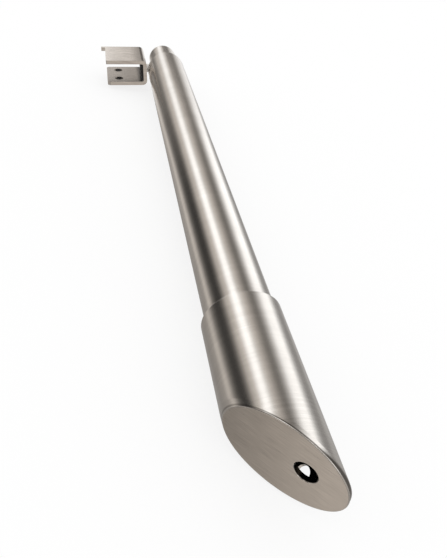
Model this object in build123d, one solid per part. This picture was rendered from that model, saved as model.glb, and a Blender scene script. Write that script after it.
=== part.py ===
from build123d import *
from math import cos, radians, sin, tan
import os

# A telescoping wall arm that steadies a sheet of glass. Millimetres, +Z up. The arm's axis lies along +X.
# The origin is where that axis leaves the outer face of the foot plate, so the wall is on the -X, +Y side.

# Inner tube, a standard 42.4 x 2 tube
tube_od = 42.4
tube_wall = 2.0
tube_end = 487.0
tube_rim_round = 0.5

# Sleeve, a standard 48.3 x 2.6 tube that leaves room round the inner tube for the nylon bands
slide_gap = 0.35
sleeve_wall = 2.6
sleeve_reach = 87.0
sleeve_rim_round = 0.5
wall_angle = 43.0

# Foot plate
plate_thickness = 3.0
plate_edge_round = 0.6
plate_tip_cut = 3.0
plate_heel_cut = 0.5
plate_hole_d = 12.0
plate_hole_bevel = 0.35
plate_hole_to_tip = 10.6
plate_hole_up = 2.6

# Cross hole that reaches the wall stud, on the underside towards the plate's pointed end
stud_lock_hole_d = 7.5
stud_lock_hole_x = 0.6
stud_lock_hole_angle = -133.0

# How far the inner tube can be pushed in before it meets the foot plate
tube_push_in = 10.0
tube_stop_gap = 1.5

# Nylon bands
band_width = 8.0
band_depth = 0.9
band_slit = 2.0
glide_ring_inset = 2.0
guide_ring_inset = 1.5

# Set screw that locks the inner tube
lock_screw_d = 5.0
lock_screw_length = 4.0
lock_screw_inset = 15.0

# Spigot in the far end of the inner tube
spigot_shoulder = 2.95
spigot_out = 40.5
spigot_in = 25.0
spigot_end_round = 1.6
spigot_screw_d = 5.0
spigot_screw_length = 8.0
spigot_screw_inset = 12.0

# Clamp pivot, placed from the end of the inner tube
pivot_beyond_tube = 9.5
pivot_roll = -6.6
pivot_pin_d = 6.0
pivot_collar_d = 9.0
collar_seat_depth = 0.75
collar_seat_margin = 0.5
nut_pocket_d = 14.0
nut_pocket_floor = 8.5
pivot_washer_d = 12.4
pivot_washer_thickness = 0.8
disc_spring_d = 12.0
disc_spring_thickness = 0.6
disc_spring_height = 1.0
nut_across_flats = 10.0
nut_height = 5.0
nut_pin_beyond = 0.6

# Folded glass clamp
web_gap = 1.8
clamp_sheet = 4.0
clamp_height = 27.5
clamp_depth = 45.5
clamp_length = 48.5
clamp_front_of_pivot = 16.5
clamp_inner_bend = 1.5
upper_tip_round = 1.2
lower_tip_round = 3.5
nib_out = 4.5
nib_length = 3.5

# Rubber pads, one under the upper jaw and one on the web
pad_thickness = 1.5
pad_side_inset = 4.5
pad_tip_inset = 2.5
edge_pad_side_inset = 0.5

# Glass screws
glass_screw_d = 8.0
glass_screw_length = 4.8
glass_screw_spacing = 26.0
glass_screw_from_web = 32.0
glass_screw_below_jaw = 0.25
screw_tip_d = 5.5
screw_tip_height = 1.2
screw_tip_stem_d = 3.0
screw_tip_stem = 1.0

# Clearances
running_fit = 0.08
seat_fit = 0.03
thread_fit = 0.06
screw_bevel = 0.5
hex_share = 0.5
socket_share = 0.45

# Derived sizes
tube_r = tube_od / 2
tube_bore_r = tube_r - tube_wall
sleeve_bore_r = tube_r + slide_gap
sleeve_r = sleeve_bore_r + sleeve_wall
sleeve_od = 2 * sleeve_r
spigot_r = tube_bore_r - spigot_shoulder
web_offset = tube_r + web_gap
slope = 1 / tan(radians(wall_angle))
plate_step = plate_thickness / sin(radians(wall_angle))
tube_start = sleeve_bore_r * slope + plate_step + tube_stop_gap + tube_push_in
pivot_x = tube_end + pivot_beyond_tube
far = 3 * sleeve_od
pin_r = pivot_pin_d / 2
collar_seat = spigot_r - collar_seat_depth
clamp_top = clamp_height / 2
jaw_gap_half = clamp_top - clamp_sheet
web_inner = web_offset + clamp_sheet
clamp_tip = web_offset + clamp_depth
clamp_front = -clamp_front_of_pivot
clamp_back = clamp_front + clamp_length
screw_middle = clamp_front + clamp_length / 2
screw_y = web_offset + glass_screw_from_web

# Frame of the clamp: origin on the arm's axis at the pivot, +Y along the pivot and turned down by the roll
clamp_frame = Location((pivot_x, 0, 0), (pivot_roll, 0, 0))


def rod(radius, x0, x1):
    """A round bar along the arm's axis."""
    return Plane.YZ.offset(x0) * extrude(Circle(radius), x1 - x0)


def pipe(outer, inner, x0, x1):
    """A tube along the arm's axis."""
    return rod(outer, x0, x1) - rod(inner, x0 - 1, x1 + 1)


def bar(radius, start, direction, length):
    """A round bar from a point along any direction."""
    return extrude(Plane(origin=start, z_dir=direction) * Circle(radius), length)


def arm_side(step):
    """Everything on the arm's side of the slanted plane that lies step along X from the foot's outer face."""
    profile = Polyline(
        (step - far * slope, -far),
        (step + far * slope, far),
        (far * 6, far),
        (far * 6, -far),
        close=True,
    )
    return extrude(make_face(profile), far, both=True)


def split_band(inner, outer, x0, x1):
    """A nylon band with the slit that lets it snap into its groove."""
    slit = Box(x1 - x0 + 2, band_slit, outer, align=(Align.MIN, Align.CENTER, Align.MAX))
    return pipe(outer, inner, x0, x1) - Pos(x0 - 1, 0, 0) * slit


def set_screw(diameter, length):
    """A headless screw along +Z with its bevelled tip at the origin and its hexagon socket at the far end."""
    body = extrude(Circle(diameter / 2), length)
    body = chamfer(body.edges().filter_by(GeomType.CIRCLE), screw_bevel)
    across = diameter * hex_share
    socket = RegularPolygon(across / 2, 6, major_radius=False)
    depth = length * socket_share
    return body - Pos(0, 0, length - depth) * extrude(socket, depth + 1)


def in_clamp(shape):
    """Carry a shape from the clamp's frame to the arm's frame."""
    return clamp_frame * shape


def foot_plate():
    """An oval plate over the sleeve's slanted end, a little shorter at its face for a blunt point."""
    normal = (-sin(radians(wall_angle)), cos(radians(wall_angle)), 0)
    towards_tip = (-cos(radians(wall_angle)), -sin(radians(wall_angle)), 0)
    half_length = sleeve_r / sin(radians(wall_angle))
    seam = Plane(origin=(plate_step, 0, 0), x_dir=towards_tip, z_dir=normal) * Ellipse(half_length, sleeve_r)
    shift = (plate_heel_cut - plate_tip_cut) / 2
    middle = (towards_tip[0] * shift, towards_tip[1] * shift, 0)
    face_oval = Ellipse(half_length - (plate_tip_cut + plate_heel_cut) / 2, sleeve_r)
    slab = loft([seam, Plane(origin=middle, x_dir=towards_tip, z_dir=normal) * face_oval], ruled=True)
    outer = slab.faces().filter_by(GeomType.PLANE).sort_by(Axis((0, 0, 0), normal))[-1]
    slab = fillet(outer.edges(), plate_edge_round)
    centre = (towards_tip[0] * plate_hole_to_tip, towards_tip[1] * plate_hole_to_tip, plate_hole_up)
    face = Plane(origin=centre, z_dir=normal)
    hole_r = plate_hole_d / 2
    hole = face * extrude(Circle(hole_r), plate_thickness + 1, both=True)
    cone = Solid.make_cone(hole_r, hole_r + plate_hole_bevel, plate_hole_bevel)
    return slab - hole - face * Pos(0, 0, -plate_hole_bevel) * cone


def sleeve():
    """The mitred outer tube, with its nylon band's groove, the lock thread and the stud's cross hole."""
    body = pipe(sleeve_r, sleeve_bore_r, -far, sleeve_reach)
    rim = body.edges().filter_by(GeomType.CIRCLE).group_by(Axis.X)[-1].sort_by(SortBy.RADIUS)[-1]
    body = fillet(rim, sleeve_rim_round) & arm_side(plate_step)
    groove_x = sleeve_reach - glide_ring_inset - band_width
    body = body - rod(sleeve_bore_r + band_depth, groove_x, groove_x + band_width)
    screw_x = sleeve_reach - lock_screw_inset
    body = body - bar(lock_screw_d / 2 + thread_fit, (screw_x, 0, 0), (0, 0, -1), sleeve_od)
    turn = radians(stud_lock_hole_angle)
    across = (0, cos(turn), sin(turn))
    return body - bar(stud_lock_hole_d / 2, (stud_lock_hole_x, 0, 0), across, sleeve_od)


def glide_ring():
    x0 = sleeve_reach - glide_ring_inset - band_width + seat_fit
    x1 = sleeve_reach - glide_ring_inset - seat_fit
    return split_band(tube_r + running_fit, sleeve_bore_r + band_depth - seat_fit, x0, x1)


def guide_ring():
    x0 = tube_start + guide_ring_inset + seat_fit
    x1 = tube_start + guide_ring_inset + band_width - seat_fit
    return split_band(tube_r - band_depth + running_fit, sleeve_bore_r - running_fit, x0, x1)


def lock_screw():
    x = sleeve_reach - lock_screw_inset
    screw = set_screw(lock_screw_d, lock_screw_length)
    return Plane(origin=(x, 0, -tube_r - seat_fit), z_dir=(0, 0, -1)) * screw


def inner_tube():
    body = pipe(tube_r, tube_bore_r, tube_start, tube_end)
    rim = body.edges().filter_by(GeomType.CIRCLE).group_by(Axis.X)[-1].sort_by(SortBy.RADIUS)[-1]
    body = fillet(rim, tube_rim_round)
    groove_x = tube_start + guide_ring_inset
    groove = pipe(tube_od, tube_r - band_depth, groove_x, groove_x + band_width)
    screw_x = tube_end - spigot_screw_inset
    return body - groove - bar(spigot_screw_d / 2 + thread_fit, (screw_x, 0, 0), (0, 0, -1), tube_od)


def spigot_screw():
    x = tube_end - spigot_screw_inset
    screw = set_screw(spigot_screw_d, spigot_screw_length)
    return Plane(origin=(x, 0, -tube_r + spigot_screw_length), z_dir=(0, 0, -1)) * screw


def end_spigot():
    """The turned plug: a shank in the tube, a smaller nose, the pivot's bore, collar seat and nut pocket."""
    shank = rod(tube_bore_r - seat_fit, tube_end - spigot_in, tube_end)
    nose = rod(spigot_r, tube_end, tube_end + spigot_out)
    tip = nose.edges().filter_by(GeomType.CIRCLE).sort_by(Axis.X)[-1]
    body = shank + fillet(tip, spigot_end_round)
    bore = bar(pin_r + running_fit, (0, -far, 0), (0, 1, 0), 2 * far)
    seat_r = pivot_collar_d / 2 + collar_seat_margin
    seat = bar(seat_r, (0, collar_seat, 0), (0, 1, 0), far)
    pocket = bar(nut_pocket_d / 2, (0, -nut_pocket_floor, 0), (0, -1, 0), far)
    body = body - in_clamp(bore) - in_clamp(seat) - in_clamp(pocket)
    screw_x = tube_end - spigot_screw_inset
    top = -tube_r + spigot_screw_length + seat_fit
    return body - bar(spigot_screw_d / 2 + thread_fit, (screw_x, 0, top), (0, 0, -1), tube_od)


def pivot_collar():
    collar = bar(pivot_collar_d / 2, (0, collar_seat, 0), (0, 1, 0), web_offset - collar_seat)
    return in_clamp(collar - bar(pin_r + running_fit, (0, 0, 0), (0, 1, 0), far))


def washer_floor():
    """How far from the arm's axis the nut bears on its disc spring."""
    return nut_pocket_floor + pivot_washer_thickness + disc_spring_height


def pivot_pin():
    """The pin that is riveted flush into the clamp's web and threaded at its other end."""
    reach = washer_floor() + nut_height + nut_pin_beyond
    pin = bar(pin_r, (0, web_inner, 0), (0, -1, 0), web_inner + reach)
    tip = pin.edges().sort_by(Axis.Y)[0]
    return in_clamp(chamfer(tip, screw_bevel))


def pivot_washer():
    ring = bar(pivot_washer_d / 2, (0, -nut_pocket_floor, 0), (0, -1, 0), pivot_washer_thickness)
    return in_clamp(ring - bar(pin_r + seat_fit, (0, 0, 0), (0, -1, 0), far))


def pivot_disc_spring():
    """A coned washer, wide side towards the spigot."""
    base = nut_pocket_floor + pivot_washer_thickness
    inner = pin_r + seat_fit
    outer = disc_spring_d / 2
    rise = disc_spring_height - disc_spring_thickness
    section = Polyline(
        (outer, base),
        (outer, base + disc_spring_thickness),
        (inner, base + disc_spring_height),
        (inner, base + rise),
        close=True,
    )
    ring = revolve(make_face(section), Axis.Y)
    return in_clamp(mirror(ring, Plane.XZ))


def pivot_nut():
    hexagon = Plane(origin=(0, -washer_floor(), 0), z_dir=(0, -1, 0)) * RegularPolygon(
        nut_across_flats / 2, 6, major_radius=False
    )
    nut = extrude(hexagon, nut_height)
    corner_r = nut_across_flats / 2 / cos(radians(30))
    cone = Solid.make_cone(corner_r + nut_height, corner_r - 2 * screw_bevel, nut_height + 2 * screw_bevel)
    nut = nut & (Plane(origin=(0, -washer_floor(), 0), z_dir=(0, -1, 0)) * cone)
    return in_clamp(nut - bar(pin_r + seat_fit, (0, 0, 0), (0, -1, 0), far))


def clamp_channel():
    """The folded U channel: its section is drawn from the web outwards and run along the arm."""
    outer = Pos(web_offset, -clamp_top) * Rectangle(clamp_depth, clamp_height, align=(Align.MIN, Align.MIN))
    outer = fillet(outer.vertices().group_by(Axis.X)[0], clamp_inner_bend + clamp_sheet)
    hollow = Pos(web_inner, -jaw_gap_half) * Rectangle(
        clamp_depth, 2 * jaw_gap_half, align=(Align.MIN, Align.MIN)
    )
    hollow = fillet(hollow.vertices().group_by(Axis.X)[0], clamp_inner_bend)
    body = Plane.YZ.offset(clamp_front) * extrude(outer - hollow, clamp_length)
    tips = body.edges().filter_by(Axis.Z).group_by(Axis.Y)[-1]
    body = fillet(tips.filter_by_position(Axis.Z, -clamp_top, 0), lower_tip_round)
    tips = body.edges().filter_by(Axis.Z).group_by(Axis.Y)[-1]
    body = fillet(tips.filter_by_position(Axis.Z, 0, clamp_top).sort_by(Axis.X)[0], upper_tip_round)
    nib = Box(nib_length, nib_out + 1, clamp_sheet, align=(Align.MAX, Align.MIN, Align.MAX))
    body = body + Pos(clamp_back, clamp_tip - 1, clamp_top) * nib
    body = body - bar(pin_r + seat_fit, (0, 0, 0), (0, 1, 0), web_inner + 1)
    for x in screw_places():
        body = body - bar(glass_screw_d / 2 + thread_fit, (x, screw_y, 0), (0, 0, -1), clamp_height)
    return in_clamp(body)


def glass_pad():
    width = clamp_length - 2 * pad_side_inset
    depth = clamp_depth - clamp_sheet - clamp_inner_bend - pad_tip_inset
    pad = Box(width, depth, pad_thickness, align=(Align.MIN, Align.MAX, Align.MAX))
    pad = fillet(pad.edges().filter_by(Axis.Z), upper_tip_round)
    return in_clamp(Pos(clamp_front + pad_side_inset, clamp_tip - pad_tip_inset, jaw_gap_half) * pad)


def edge_pad():
    """The rubber strip on the web's inner face, which the edge of the glass meets."""
    width = clamp_length - 2 * edge_pad_side_inset
    height = 2 * (jaw_gap_half - clamp_inner_bend)
    pad = Box(width, pad_thickness, height, align=(Align.MIN, Align.MIN, Align.CENTER))
    return in_clamp(Pos(clamp_front + edge_pad_side_inset, web_inner, 0) * pad)


def screw_places():
    """Where the two glass screws stand along the clamp, front one first."""
    half = glass_screw_spacing / 2
    return [screw_middle - half, screw_middle + half]


def glass_screw(x):
    """A short set screw whose socket faces down, bored for the stem of its soft tip."""
    top = -jaw_gap_half - glass_screw_below_jaw - screw_tip_height
    screw = Plane(origin=(x, screw_y, top), z_dir=(0, 0, -1)) * set_screw(glass_screw_d, glass_screw_length)
    stem = bar(screw_tip_stem_d / 2 + seat_fit, (x, screw_y, top), (0, 0, -1), screw_tip_stem + seat_fit)
    return in_clamp(screw - stem)


def screw_tip(x):
    base = -jaw_gap_half - glass_screw_below_jaw - screw_tip_height
    disc = bar(screw_tip_d / 2, (x, screw_y, base), (0, 0, 1), screw_tip_height)
    disc = fillet(disc.edges().sort_by(Axis.Z)[-1], screw_bevel)
    return in_clamp(disc + bar(screw_tip_stem_d / 2, (x, screw_y, base), (0, 0, -1), screw_tip_stem))


front, rear = screw_places()
pieces = {
    "foot_plate": foot_plate(),
    "sleeve": sleeve(),
    "glide_ring": glide_ring(),
    "lock_screw": lock_screw(),
    "guide_ring": guide_ring(),
    "inner_tube": inner_tube(),
    "end_spigot": end_spigot(),
    "spigot_screw": spigot_screw(),
    "pivot_collar": pivot_collar(),
    "clamp_channel": clamp_channel(),
    "pivot_pin": pivot_pin(),
    "pivot_washer": pivot_washer(),
    "pivot_disc_spring": pivot_disc_spring(),
    "pivot_nut": pivot_nut(),
    "glass_pad": glass_pad(),
    "edge_pad": edge_pad(),
    "glass_screw_front": glass_screw(front),
    "glass_screw_rear": glass_screw(rear),
    "screw_tip_front": screw_tip(front),
    "screw_tip_rear": screw_tip(rear),
}

os.makedirs("parts", exist_ok=True)
for name, piece in pieces.items():
    solids = piece.solids()
    piece = solids[0] if len(solids) == 1 else Compound(children=solids)
    export_step(piece, f"parts/{name}.step")
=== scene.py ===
from math import cos, pi, radians, sin

import bpy
from mathutils import Matrix, Vector


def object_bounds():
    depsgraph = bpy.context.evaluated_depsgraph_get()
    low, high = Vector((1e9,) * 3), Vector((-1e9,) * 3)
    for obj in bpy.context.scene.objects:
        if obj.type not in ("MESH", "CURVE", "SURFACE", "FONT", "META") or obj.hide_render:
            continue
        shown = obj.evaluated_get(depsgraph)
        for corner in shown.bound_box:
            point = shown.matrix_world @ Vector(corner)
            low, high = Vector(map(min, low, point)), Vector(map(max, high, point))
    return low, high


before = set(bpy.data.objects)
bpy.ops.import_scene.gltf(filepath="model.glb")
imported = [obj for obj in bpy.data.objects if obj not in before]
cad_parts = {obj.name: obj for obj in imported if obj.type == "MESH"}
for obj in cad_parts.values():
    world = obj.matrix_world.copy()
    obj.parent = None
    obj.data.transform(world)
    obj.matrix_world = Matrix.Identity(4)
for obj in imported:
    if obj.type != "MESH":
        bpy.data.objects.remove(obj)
cad_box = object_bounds()

# Lengths are in metres. X runs along the arm from the wall to the clamp, Y towards the short side of the
# slanted foot, and Z up. A pair of numbers says where a smooth step is 0 and where it is 1.
X_AXIS = (1, 0, 0)
Y_AXIS = (0, 1, 0)
Z_AXIS = (0, 0, 1)
WHITE = (1, 1, 1)
OPAQUE = 1

# Camera, found by fitting the tubes, the foot and the clamp to the photograph
CAMERA_PLACE = Vector((-0.09196, 0.08488, 0.19715))
CAMERA_LOOKS_AT = Vector((0.12086, 0.00434, 0.00164))
CAMERA_ROLL = radians(13.94)
CAMERA_NEAR = 0.01
CAMERA_FAR = 20
FOCAL_PIXELS = 474.1
LONG_SIDE_PIXELS = 558
SENSOR_MM = 36.0

# The strips that metal sees round the arm: degrees from +Y towards +Z, how bright and how warm it is there.
# Two soft boxes hang over the arm with a dark gap between them, and a dark flag stands on the +Y side. The
# list starts and ends below the arm.
STUDIO = [
    (-95, 0.40, 0.5),
    (-62, 0.36, 0.8),
    (-38, 0.46, 0.9),
    (-25, 0.80, 0.9),
    (-17, 0.62, 0.9),
    (-9, 0.28, 0.9),
    (0, 0.11, 0.8),
    (9, 0.055, 0.8),
    (20, 0.055, 0.8),
    (26, 0.12, 0.9),
    (32, 0.30, 1.0),
    (40, 0.68, 1.0),
    (48, 0.80, 0.9),
    (54, 1.15, 0.4),
    (60, 1.80, 0.0),
    (70, 1.80, 0.0),
    (78, 0.98, 0.5),
    (88, 0.68, 1.0),
    (97, 0.42, 1.0),
    (105, 0.24, 1.0),
    (112, 0.23, 0.9),
    (119, 0.44, 0.6),
    (126, 0.80, 0.3),
    (138, 1.60, 0.0),
    (157, 1.80, 0.0),
    (165, 1.15, 0.0),
    (173, 0.62, 0.1),
    (183, 0.38, 0.3),
    (197, 0.38, 0.4),
    (210, 0.55, 0.3),
    (265, 0.40, 0.5),
]
STUDIO_START = STUDIO[0][0]
STUDIO_SPAN = STUDIO[-1][0] - STUDIO_START
STUDIO_MIDDLE = radians(STUDIO_START + STUDIO_SPAN / 2)
# No level is above this one, and the world's colours are shares of it
STUDIO_PEAK = 2.0
WARM_TINT = (1.0, 0.93, 0.86)
# The strips fan out from their middle towards the far end: their spread is SPREAD_BASE and SPREAD_ALONG for
# each 1 along X, and no less than SPREAD_LEAST
SPREAD_BASE = 0.66
SPREAD_ALONG = 0.60
SPREAD_LEAST = 0.70
# They turn a little towards the -Y side, by this many radians for each 1 along X past their start
TURN_ALONG = 0.11
TURN_STARTS = 0.10
# Close to the arm's own direction they spread and turn by this much more
END_ALONG = (0.86, 0.95)
END_SPREAD = 0.24
END_TURN = radians(5)
# There the strips on the -Y side mix with a duller grey, of this level and warmth
END_DULL = (0.45, 0.5)
END_DULL_SHARE = 0.45
END_DULL_STARTS = (radians(28), radians(48))
# All strips grow paler towards the far end, where they mix with this level and warmth
HAZE = (0.60, 1.0)
HAZE_SHARE = 0.36
HAZE_ALONG = (0.82, 0.96)
# How bright it is towards the wall, from straight along -X to square to the arm
WALL_SIDE = [
    (-1.0, 0.60),
    (-0.80, 0.70),
    (-0.62, 1.20),
    (-0.52, 1.00),
    (-0.43, 0.84),
    (-0.38, 0.70),
    (-0.33, 0.49),
    (-0.28, 0.34),
    (-0.22, 0.24),
    (0.0, 0.20),
]
WALL_SIDE_WARMTH = 1.0
WALL_SIDE_BLEND = (-0.06, -0.20)
# Between these two steps the wall side shows the strips as well, for who looks from the clamp's end
WALL_STRIPS_START = (-0.47, -0.54)
WALL_STRIPS_END = (-0.93, -0.88)
# White screens at the far end, low on both sides and straight ahead, which the tubes' rims catch as a bright
# line: their level and warmth, and where they stand along X and round the arm
SCREEN = (1.3, 0.0)
SCREEN_ALONG = (0.91, 0.94)
SCREEN_LEFT = (radians(-105), radians(-118))
SCREEN_RIGHT = (radians(60), radians(75))
SCREEN_RIGHT_END = (radians(112), radians(98))
SCREEN_RIGHT_SHARE = 0.30
SCREEN_AHEAD = (0.972, 0.982)
# A dark flag at the far end, just past overhead, which darkens the clamp's bend. Its angles count from the
# strips' middle.
FLAG = (0.20, 1.0)
FLAG_ALONG = (0.925, 0.945)
FLAG_STARTS = (radians(3), radians(18))
FLAG_ENDS = (radians(65), radians(55))

# Floor: its side, how far along X its middle is, how far it lies under the part, and how much of it is plain
# white to the camera
FLOOR_SIZE = 6
FLOOR_ALONG = 0.2
FLOOR_DROP = 0.001
FLOOR_OWN_WHITE = 0.80

# Brush marks come from a fine noise and a broad one, given by scale, detail and roughness. A tone is a place
# on the ramp, the share of the metal's colour there and what is added to it.
MARK_NOISE = (1, 5, 0.72)
BROAD_NOISE = (60, 3, 0.5)
BROAD_SHARE = 0.3
NOISE_MIDDLE = 0.5
MARK_TONES = [(0.15, 0.72, 0.0), (0.85, 1.22, 0.0)]
MARK_ROUGHNESS = 0.04
MARK_DEPTH = 0.008
BUMP_DISTANCE = 0.0002
# The mottling of nylon and rubber
SPECK_NOISE = (900, 3, 0.5)
SPECK_TONES = [(0.3, 0.8, 0.0), (0.7, 1.15, 0.005)]
SPECK_ROUGHNESS = 0.2
SPECK_DEPTH = 0.05

# The rim of a tube, painted bright there as a highlight: how squarely it faces the far end where it starts
RIM_TURN = (0.12, 0.40)
RIM_HIGHLIGHT_COLOR = (0.96, 0.95, 0.93)

# The foot: where its face looks, the way along its oval to the tip, and how squarely a surface looks at the
# wall to count as the face
WALL_ANGLE = radians(43.0)
WALL_OUTWARDS = (-sin(WALL_ANGLE), cos(WALL_ANGLE), 0)
WALL_ALONG = (-cos(WALL_ANGLE), -sin(WALL_ANGLE), 0)
FACE_TURN = (0.90, 0.97)
# The painted shade behind the face's edge, a dark line: how deep it starts, where it ends as a share of its
# reach, that reach, and where along Y it widens towards the foot's tip and fades towards its heel
EDGE_LINE_STARTS = (0.0004, 0.0006)
EDGE_LINE_ENDS = (1.0, 0.6)
EDGE_LINE_REACH = 0.0014
EDGE_LINE_REACH_TIP = 0.0034
EDGE_LINE_WIDENS = (-0.007, -0.019)
EDGE_LINE_FADES = (0.006, 0.018)
EDGE_LINE_STRENGTH = 0.85
EDGE_LINE_STRENGTH_HEEL = 0.45
EDGE_SHADE_COLOR = (0.07, 0.06, 0.05)
# The plate's hole, whose wall is darkened with painted shade: how far along the oval and how far up it lies,
# and its radius
HOLE_ALONG = 0.0106
HOLE_UP = 0.0026
BORE_EDGE = (0.00625, 0.0060)
BORE_SHADE_COLOR = (0.07, 0.06, 0.05)

# How far the clamp is turned about the arm at rest, and its own directions, which are turned with it
CLAMP_ROLL = radians(-6.6)
CLAMP_UP = (0, -sin(CLAMP_ROLL), cos(CLAMP_ROLL))
CLAMP_ACROSS = (0, cos(CLAMP_ROLL), sin(CLAMP_ROLL))
# How squarely a face looks up to count as an upper one, and the height where the clamp's lower half begins
FACING_UP = (0.6, 0.9)
LOWER_HALF = (0.001, -0.001)
# Painted shade on the clamp's top: where it starts to darken and is darkest, counted from the arm's axis
BEND_SHADE = (0.042, 0.026)
BEND_SHADE_SHARE = 0.56
BEND_SHADE_COLOR = (0.12, 0.105, 0.09)
# Painted shade in the inner corner: how far up and down and how far across it reaches, without the clamp's
# edges and back
CORNER_HEIGHT = (0.0100, 0.0098)
CORNER_REACH = (0.0350, 0.0295)
CORNER_OFF_EDGES = (0.7, 0.3)
CORNER_OFF_BACK = (-0.6, -0.3)
CORNER_SHARE = 0.9
CORNER_SHADE_COLOR = (0.04, 0.035, 0.03)
# Painted shade round the rims of the holes, this far round the axes of the screws
GLASS_SCREWS = ("glass_screw_front", "glass_screw_rear")
HOLE_RIM = (0.0051, 0.0047)
HOLE_SHADE_COLOR = (0.03, 0.025, 0.02)

# Colours of the metals and the plastics
TUBE_STEEL = (0.62, 0.595, 0.565)
FACE_STEEL = (0.60, 0.555, 0.507)
CLAMP_STEEL = (0.65, 0.61, 0.57)
# The clamp's steel inside the lower jaw: the clamp's steel darkened as painted shade
CLAMP_INNER_SHADED_STEEL = (0.335, 0.305, 0.275)
FASTENER_STEEL = (0.68, 0.66, 0.63)
# Paler than the other steel: the collar's colour is a painted highlight
COLLAR_HIGHLIGHT_STEEL = (0.94, 0.92, 0.89)
NYLON = (0.8, 0.79, 0.74)
RUBBER = (0.012, 0.011, 0.010)
TIP_NYLON = (0.015, 0.014, 0.013)
# How many times a metre the brush marks repeat along each axis
TUBE_GRAIN = (1500, 10, 10)
FACE_GRAIN = (70, 2600, 1900)
CLAMP_GRAIN = (800, 30, 800)
FASTENER_GRAIN = (900, 900, 900)


def add_camera():
    data = bpy.data.cameras.new("camera")
    data.sensor_width = SENSOR_MM
    data.lens = SENSOR_MM * FOCAL_PIXELS / LONG_SIDE_PIXELS
    data.clip_start = CAMERA_NEAR
    data.clip_end = CAMERA_FAR
    camera = bpy.data.objects.new("camera", data)
    bpy.context.scene.collection.objects.link(camera)
    aim = (CAMERA_LOOKS_AT - CAMERA_PLACE).to_track_quat("-Z", "Y")
    turn = Matrix.Rotation(CAMERA_ROLL, 4, "Z")
    camera.matrix_world = Matrix.Translation(CAMERA_PLACE) @ aim.to_matrix().to_4x4() @ turn
    bpy.context.scene.camera = camera


class Nodes:
    """Short calls for building a node tree. Nearly all return an output of the last node that they add."""

    def __init__(self, tree):
        self.tree = tree
        self.tree.nodes.clear()

    def put(self, value, socket):
        """Another node's output is linked, and a number, a vector or a colour is set on the socket itself."""
        if isinstance(value, bpy.types.NodeSocket):
            self.tree.links.new(value, socket)
        elif isinstance(value, tuple) and len(value) < len(socket.default_value):
            socket.default_value = (*value, OPAQUE)
        else:
            socket.default_value = value

    def add(self, kind, inputs, output=0, **settings):
        node = self.tree.nodes.new(kind)
        for name, value in settings.items():
            setattr(node, name, value)
        for name, value in inputs.items():
            self.put(value, node.inputs[name])
        return node.outputs[output]

    def show(self, kind, surface):
        """Adds the output node of a material or of the world, and links the surface to it."""
        self.tree.links.new(surface, self.tree.nodes.new(kind).inputs["Surface"])

    def math(self, operation, *values):
        return self.add("ShaderNodeMath", dict(enumerate(values)), operation=operation)

    def product(self, first, *others):
        result = first
        for other in others:
            result = self.math("MULTIPLY", result, other)
        return result

    def length(self, across, up):
        """How long a step is that goes this far across and this far up."""
        squares = self.math("MULTIPLY_ADD", across, across, self.math("POWER", up, 2))
        return self.math("SQRT", squares)

    def share(self, value, reach):
        """0 where the value is minus the reach, and 1 where it is the reach."""
        return self.math("MULTIPLY_ADD", value, 1 / (2 * reach), 1 / 2)

    def step(self, value, low, high):
        """A smooth step from 0 at low to 1 at high."""
        inputs = {"Value": value, "From Min": low, "From Max": high}
        return self.add("ShaderNodeMapRange", inputs, "Result", interpolation_type="SMOOTHSTEP")

    def band(self, value, start, end):
        """1 between the steps at the start and at the end, and 0 outside them."""
        return self.product(self.step(value, *start), self.step(value, *end))

    def ramp(self, factor, stops):
        node = self.tree.nodes.new("ShaderNodeValToRGB")
        elements = node.color_ramp.elements
        last_place = stops[-1][0]
        while len(elements) < len(stops):
            elements.new(last_place)
        for element, (place, color) in zip(elements, stops):
            element.position = place
            element.color = (*color, OPAQUE)
        self.put(factor, node.inputs["Fac"])
        return node.outputs["Color"]

    def blend(self, factor, first, second):
        """Colour first where the factor is 0 and colour second where it is 1, in sockets 6 and 7."""
        return self.add("ShaderNodeMix", {0: factor, 6: first, 7: second}, 2, data_type="RGBA")

    def between(self, factor, first, second):
        """Number first where the factor is 0 and number second where it is 1, in sockets 2 and 3."""
        return self.add("ShaderNodeMix", {0: factor, 2: first, 3: second}, data_type="FLOAT")

    def mix_shader(self, factor, first, second):
        return self.add("ShaderNodeMixShader", {0: factor, 1: first, 2: second})

    def dot(self, vector, fixed):
        return self.add("ShaderNodeVectorMath", {0: vector, 1: fixed}, "Value", operation="DOT_PRODUCT")

    def mapped(self, vector, change, amount):
        return self.add("ShaderNodeMapping", {"Vector": vector, change: amount})

    def noise(self, vector, scale, detail, roughness):
        inputs = {"Vector": vector, "Scale": scale, "Detail": detail, "Roughness": roughness}
        return self.add("ShaderNodeTexNoise", inputs, "Fac")


def tinted(level, warmth):
    """A level of the studio as a share of its peak, with the warm cast of the lamps mixed in."""
    return tuple(level / STUDIO_PEAK * (1 + warmth * (tint - 1)) for tint in WARM_TINT)


def angle_in_strips(n, along, from_middle):
    """Which angle from the strips' middle a direction shows, as they fan out and turn towards the far end."""
    at_end = n.step(along, *END_ALONG)
    spread = n.math("MULTIPLY_ADD", along, SPREAD_ALONG, SPREAD_BASE)
    spread = n.math("MULTIPLY_ADD", at_end, END_SPREAD, n.math("MAXIMUM", spread, SPREAD_LEAST))
    turned_on = n.math("MULTIPLY_ADD", along, TURN_ALONG, -TURN_ALONG * TURN_STARTS)
    turned_on = n.math("MULTIPLY_ADD", at_end, END_TURN, turned_on)
    return n.math("DIVIDE", n.math("SUBTRACT", from_middle, turned_on), spread)


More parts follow.
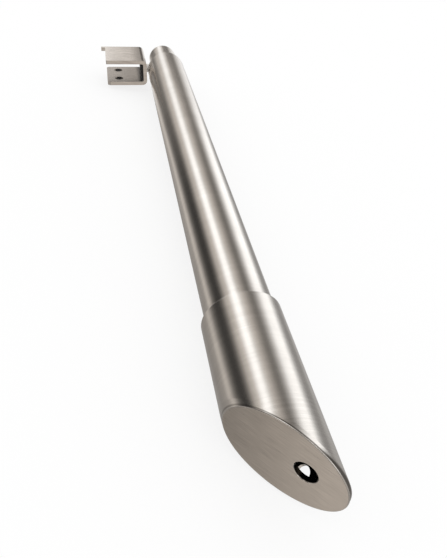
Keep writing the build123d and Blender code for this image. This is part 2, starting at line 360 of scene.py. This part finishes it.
def strips_seen(n, along, turn):
    """The strips, duller on the -Y side and paler altogether towards the far end."""
    stops = [((at - STUDIO_START) / STUDIO_SPAN, tinted(level, warmth)) for at, level, warmth in STUDIO]
    strips = n.ramp(n.share(turn, pi), stops)
    dull = n.product(n.step(turn, *END_DULL_STARTS), n.step(along, *END_ALONG), END_DULL_SHARE)
    strips = n.blend(dull, strips, tinted(*END_DULL))
    haze = n.product(n.step(along, *HAZE_ALONG), HAZE_SHARE)
    return n.blend(haze, strips, tinted(*HAZE))


def wall_side_seen(n, along, strips):
    """What metal sees towards the wall."""
    stops = [((x + 1) / 2, tinted(level, WALL_SIDE_WARMTH)) for x, level in WALL_SIDE]
    wall_side = n.ramp(n.share(along, 1), stops)
    return n.blend(n.band(along, WALL_STRIPS_START, WALL_STRIPS_END), wall_side, strips)


def on_screens(n, along, turn):
    """How much of the white screens at the far end a direction shows."""
    low_right = n.product(n.band(turn, SCREEN_RIGHT, SCREEN_RIGHT_END), SCREEN_RIGHT_SHARE)
    low_down = n.math("MAXIMUM", n.step(turn, *SCREEN_LEFT), low_right)
    at_sides = n.product(n.step(along, *SCREEN_ALONG), low_down)
    return n.math("MAXIMUM", at_sides, n.step(along, *SCREEN_AHEAD))


def add_world():
    """Even white light for the camera and plain surfaces, and the studio's strips for metal."""
    world = bpy.data.worlds.new("studio")
    bpy.context.scene.world = world
    world.use_nodes = True
    n = Nodes(world.node_tree)
    direction = n.add("ShaderNodeTexCoord", {}, "Generated")
    along = n.dot(direction, X_AXIS)
    angle = n.math("ARCTAN2", n.dot(direction, Z_AXIS), n.dot(direction, Y_AXIS))
    from_middle = n.math("WRAP", n.math("SUBTRACT", angle, STUDIO_MIDDLE), pi, -pi)
    turn = angle_in_strips(n, along, from_middle)
    strips = strips_seen(n, along, turn)
    seen = n.blend(n.step(along, *WALL_SIDE_BLEND), strips, wall_side_seen(n, along, strips))
    on_flag = n.product(n.step(along, *FLAG_ALONG), n.band(from_middle, FLAG_STARTS, FLAG_ENDS))
    seen = n.blend(on_flag, seen, tinted(*FLAG))
    seen = n.blend(on_screens(n, along, turn), seen, tinted(*SCREEN))
    for_metal = n.add("ShaderNodeBackground", {"Color": seen, "Strength": STUDIO_PEAK})
    for_rest = n.add("ShaderNodeBackground", {"Color": WHITE, "Strength": 1})
    glossy_ray = n.add("ShaderNodeLightPath", {}, "Is Glossy Ray")
    n.show("ShaderNodeOutputWorld", n.mix_shader(glossy_ray, for_rest, for_metal))


def add_floor():
    """A white floor that keeps a light shadow. Metal sees past it the strips that run below the arm."""
    place = (FLOOR_ALONG, 0, cad_box[0].z - FLOOR_DROP)
    bpy.ops.mesh.primitive_plane_add(size=FLOOR_SIZE, location=place)
    floor = bpy.context.object
    floor.name = "floor"
    material = bpy.data.materials.new("floor_white")
    material.use_nodes = True
    n = Nodes(material.node_tree)
    shaded = n.add("ShaderNodeBsdfDiffuse", {"Color": WHITE})
    white = n.add("ShaderNodeEmission", {"Color": WHITE, "Strength": 1})
    clear = n.add("ShaderNodeBsdfTransparent", {})
    camera_ray = n.add("ShaderNodeLightPath", {}, "Is Camera Ray")
    glossy_ray = n.add("ShaderNodeLightPath", {}, "Is Glossy Ray")
    seen = n.mix_shader(n.product(camera_ray, FLOOR_OWN_WHITE), shaded, white)
    n.show("ShaderNodeOutputMaterial", n.mix_shader(glossy_ray, seen, clear))
    floor.data.materials.append(material)


def toned(color, tones):
    """The stops of a ramp in tones of one colour, with no channel past 1."""
    return [(place, tuple(min(1.0, c * share + lift) for c in color)) for place, share, lift in tones]


class Brushed:
    """Satin steel of one colour, whose brush marks have a grain, a tilt about Z and a contrast."""

    def __init__(self, color, grain, roughness, tilt=0.0, contrast=1.0):
        self.color = color
        self.grain = grain
        self.roughness = roughness
        self.tilt = tilt
        self.contrast = contrast

    def make(self, n, position):
        """The surface's colour, its roughness and the height of its marks."""
        turned = n.mapped(position, "Rotation", (0, 0, -self.tilt))
        marks = n.noise(n.mapped(turned, "Scale", self.grain), *MARK_NOISE)
        broad = n.noise(position, *BROAD_NOISE)
        shade = n.math("MULTIPLY_ADD", marks, self.contrast, NOISE_MIDDLE - NOISE_MIDDLE * self.contrast)
        shade = n.math("ADD", shade, -NOISE_MIDDLE * BROAD_SHARE)
        shade = n.math("MULTIPLY_ADD", broad, BROAD_SHARE, shade)
        lowest = self.roughness - NOISE_MIDDLE * MARK_ROUGHNESS
        rough = n.math("MULTIPLY_ADD", marks, MARK_ROUGHNESS, lowest)
        return n.ramp(shade, toned(self.color, MARK_TONES)), rough, marks


def new_material(name):
    """A material, its nodes, and the place and the normal of the point that they shade."""
    material = bpy.data.materials.new(name)
    material.use_nodes = True
    n = Nodes(material.node_tree)
    position = n.add("ShaderNodeTexCoord", {}, "Object")
    normal = n.add("ShaderNodeTexCoord", {}, "Normal")
    return material, n, position, normal


def finish_surface(n, color, rough, height, depth=MARK_DEPTH, metallic=1):
    """One shader with the nodes' colour, roughness and bump."""
    bump = n.add("ShaderNodeBump", {"Strength": depth, "Distance": BUMP_DISTANCE, "Height": height})
    inputs = {"Base Color": color, "Roughness": rough, "Metallic": metallic, "Normal": bump}
    n.show("ShaderNodeOutputMaterial", n.add("ShaderNodeBsdfPrincipled", inputs))


def brushed_steel(name, brushed):
    material, n, position, _ = new_material(name)
    finish_surface(n, *brushed.make(n, position))
    return material


def tube_steel(name, brushed):
    """A tube brushed round its wall, with a rim painted bright as a highlight where it turns to the far end.
    """
    material, n, position, normal = new_material(name)
    color, rough, marks = brushed.make(n, position)
    on_rim_highlight = n.step(n.dot(normal, X_AXIS), *RIM_TURN)
    # The rim's pale colour is a painted highlight
    finish_surface(n, n.blend(on_rim_highlight, color, RIM_HIGHLIGHT_COLOR), rough, marks)
    return material


def on_painted_edge_shade(n, position):
    """How dark the painted shade behind the edge of the foot's face is, wider at the tip and fainter at the
    heel.
    """
    behind = n.math("MULTIPLY", n.dot(position, WALL_OUTWARDS), -1)
    across = n.dot(position, Y_AXIS)
    reach = n.between(n.step(across, *EDGE_LINE_WIDENS), EDGE_LINE_REACH, EDGE_LINE_REACH_TIP)
    strength = n.between(n.step(across, *EDGE_LINE_FADES), EDGE_LINE_STRENGTH, EDGE_LINE_STRENGTH_HEEL)
    starts = n.step(behind, *EDGE_LINE_STARTS)
    ends = n.step(n.math("DIVIDE", behind, reach), *EDGE_LINE_ENDS)
    return n.product(starts, ends, strength)


def in_bore_shade(n, position):
    """1 on the wall of the plate's hole, where the painted shade goes, and 0 away from it."""
    along = n.math("SUBTRACT", n.dot(position, WALL_ALONG), HOLE_ALONG)
    upwards = n.math("SUBTRACT", n.dot(position, Z_AXIS), HOLE_UP)
    return n.step(n.length(along, upwards), *BORE_EDGE)


def foot_steel(name, face, side):
    """The foot's flat face is brushed along its oval, and its side like the sleeve."""
    material, n, position, normal = new_material(name)
    on_face = n.step(n.dot(normal, WALL_OUTWARDS), *FACE_TURN)
    face_color, face_rough, face_marks = face.make(n, position)
    side_color, side_rough, side_marks = side.make(n, position)
    # Painted shade along the edge behind the foot's face
    side_color = n.blend(on_painted_edge_shade(n, position), side_color, EDGE_SHADE_COLOR)
    color = n.blend(on_face, side_color, face_color)
    # Painted shade on the wall of the plate's hole
    color = n.blend(in_bore_shade(n, position), color, BORE_SHADE_COLOR)
    rough = n.between(on_face, side_rough, face_rough)
    marks = n.between(on_face, side_marks, face_marks)
    finish_surface(n, color, rough, marks)
    return material


def middle_of(node):
    """The middle of a piece at rest."""
    corners = [Vector(corner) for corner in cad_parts[node].bound_box]
    return sum(corners, Vector()) / len(corners)


def near_screw(n, position, node):
    """1 close to the axis of a glass screw and 0 away from it."""
    middle = middle_of(node)
    along = n.math("SUBTRACT", n.dot(position, X_AXIS), middle.x)
    across = n.math("SUBTRACT", n.dot(position, CLAMP_ACROSS), middle.dot(Vector(CLAMP_ACROSS)))
    return n.step(n.length(along, across), *HOLE_RIM)


def in_corner_shade(n, position, normal):
    """Painted shade inside the clamp by its web, where no light gets in. Its edges and its back stay clear.
    """
    height = n.step(n.math("ABSOLUTE", n.dot(position, CLAMP_UP)), *CORNER_HEIGHT)
    reach = n.step(n.dot(position, CLAMP_ACROSS), *CORNER_REACH)
    off_edges = n.step(n.math("ABSOLUTE", n.dot(normal, X_AXIS)), *CORNER_OFF_EDGES)
    off_back = n.step(n.dot(normal, CLAMP_ACROSS), *CORNER_OFF_BACK)
    return n.product(height, reach, CORNER_SHARE, off_edges, off_back)


def clamp_steel(name, outside, inside):
    """The clamp's sheet, painted shade on top by its bend, on the rougher lower jaw, round hole rims and
    inside.
    """
    material, n, position, normal = new_material(name)
    upwards = n.step(n.dot(normal, CLAMP_UP), *FACING_UP)
    on_jaw = n.product(upwards, n.step(n.dot(position, CLAMP_UP), *LOWER_HALF))
    on_top = n.math("SUBTRACT", upwards, on_jaw)
    out_color, out_rough, out_marks = outside.make(n, position)
    in_color, in_rough, in_marks = inside.make(n, position)
    # Painted shade on the clamp's top towards its bend
    painted_bend_shade = n.product(n.step(n.dot(position, CLAMP_ACROSS), *BEND_SHADE), on_top, BEND_SHADE_SHARE)
    out_color = n.blend(painted_bend_shade, out_color, BEND_SHADE_COLOR)
    # Painted shade round the rims of the glass screws' holes
    painted_hole_shade = n.math("MAXIMUM", *[near_screw(n, position, screw) for screw in GLASS_SCREWS])
    in_color = n.blend(painted_hole_shade, in_color, HOLE_SHADE_COLOR)
    # The lower jaw's darker steel is painted shade
    color = n.blend(on_jaw, out_color, in_color)
    # Painted shade in the inner corner by the web
    color = n.blend(in_corner_shade(n, position, normal), color, CORNER_SHADE_COLOR)
    rough = n.between(on_jaw, out_rough, in_rough)
    marks = n.between(on_jaw, out_marks, in_marks)
    finish_surface(n, color, rough, marks)
    return material


def plain_plastic(name, color, roughness):
    """Moulded nylon or rubber with a faint mottled surface."""
    material, n, position, _ = new_material(name)
    specks = n.noise(position, *SPECK_NOISE)
    rough = n.math("MULTIPLY_ADD", specks, SPECK_ROUGHNESS, roughness - NOISE_MIDDLE * SPECK_ROUGHNESS)
    finish_surface(n, n.ramp(specks, toned(color, SPECK_TONES)), rough, specks, SPECK_DEPTH, metallic=0)
    return material


sleeve_marks = Brushed(TUBE_STEEL, TUBE_GRAIN, roughness=0.19, contrast=0.55)
tube_marks = Brushed(TUBE_STEEL, TUBE_GRAIN, roughness=0.18, contrast=0.5)
face_marks = Brushed(FACE_STEEL, FACE_GRAIN, roughness=0.28, tilt=WALL_ANGLE, contrast=1.3)
clamp_marks = Brushed(CLAMP_STEEL, CLAMP_GRAIN, roughness=0.14, contrast=1.6)
# The clamp's steel darkened as painted shade, and rougher
clamp_inner_shaded_marks = Brushed(CLAMP_INNER_SHADED_STEEL, CLAMP_GRAIN, roughness=0.22, contrast=1.6)
fastener_marks = Brushed(FASTENER_STEEL, FASTENER_GRAIN, roughness=0.24)
# The collar's pale steel is a painted highlight
collar_highlight_marks = Brushed(COLLAR_HIGHLIGHT_STEEL, FASTENER_GRAIN, roughness=0.42)
nylon = plain_plastic("nylon", NYLON, roughness=0.5)
rubber = plain_plastic("pad_rubber", RUBBER, roughness=0.85)
tip_nylon = plain_plastic("tip_nylon", TIP_NYLON, roughness=0.75)
fastener = brushed_steel("fastener_steel", fastener_marks)
materials = {
    "sleeve": tube_steel("sleeve_steel", sleeve_marks),
    "inner_tube": tube_steel("tube_steel", tube_marks),
    "foot_plate": foot_steel("foot_steel", face_marks, sleeve_marks),
    "end_spigot": brushed_steel("spigot_steel", tube_marks),
    "clamp_channel": clamp_steel("clamp_steel", clamp_marks, clamp_inner_shaded_marks),
    "pivot_collar": brushed_steel("collar_highlight_steel", collar_highlight_marks),
    "glide_ring": nylon,
    "guide_ring": nylon,
    "glass_pad": rubber,
    "edge_pad": rubber,
    "screw_tip_front": tip_nylon,
    "screw_tip_rear": tip_nylon,
}
for node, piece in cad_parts.items():
    piece.data.materials.clear()
    piece.data.materials.append(materials.get(node, fastener))

add_camera()
add_world()
add_floor()
bpy.context.scene.view_settings.view_transform = "Standard"
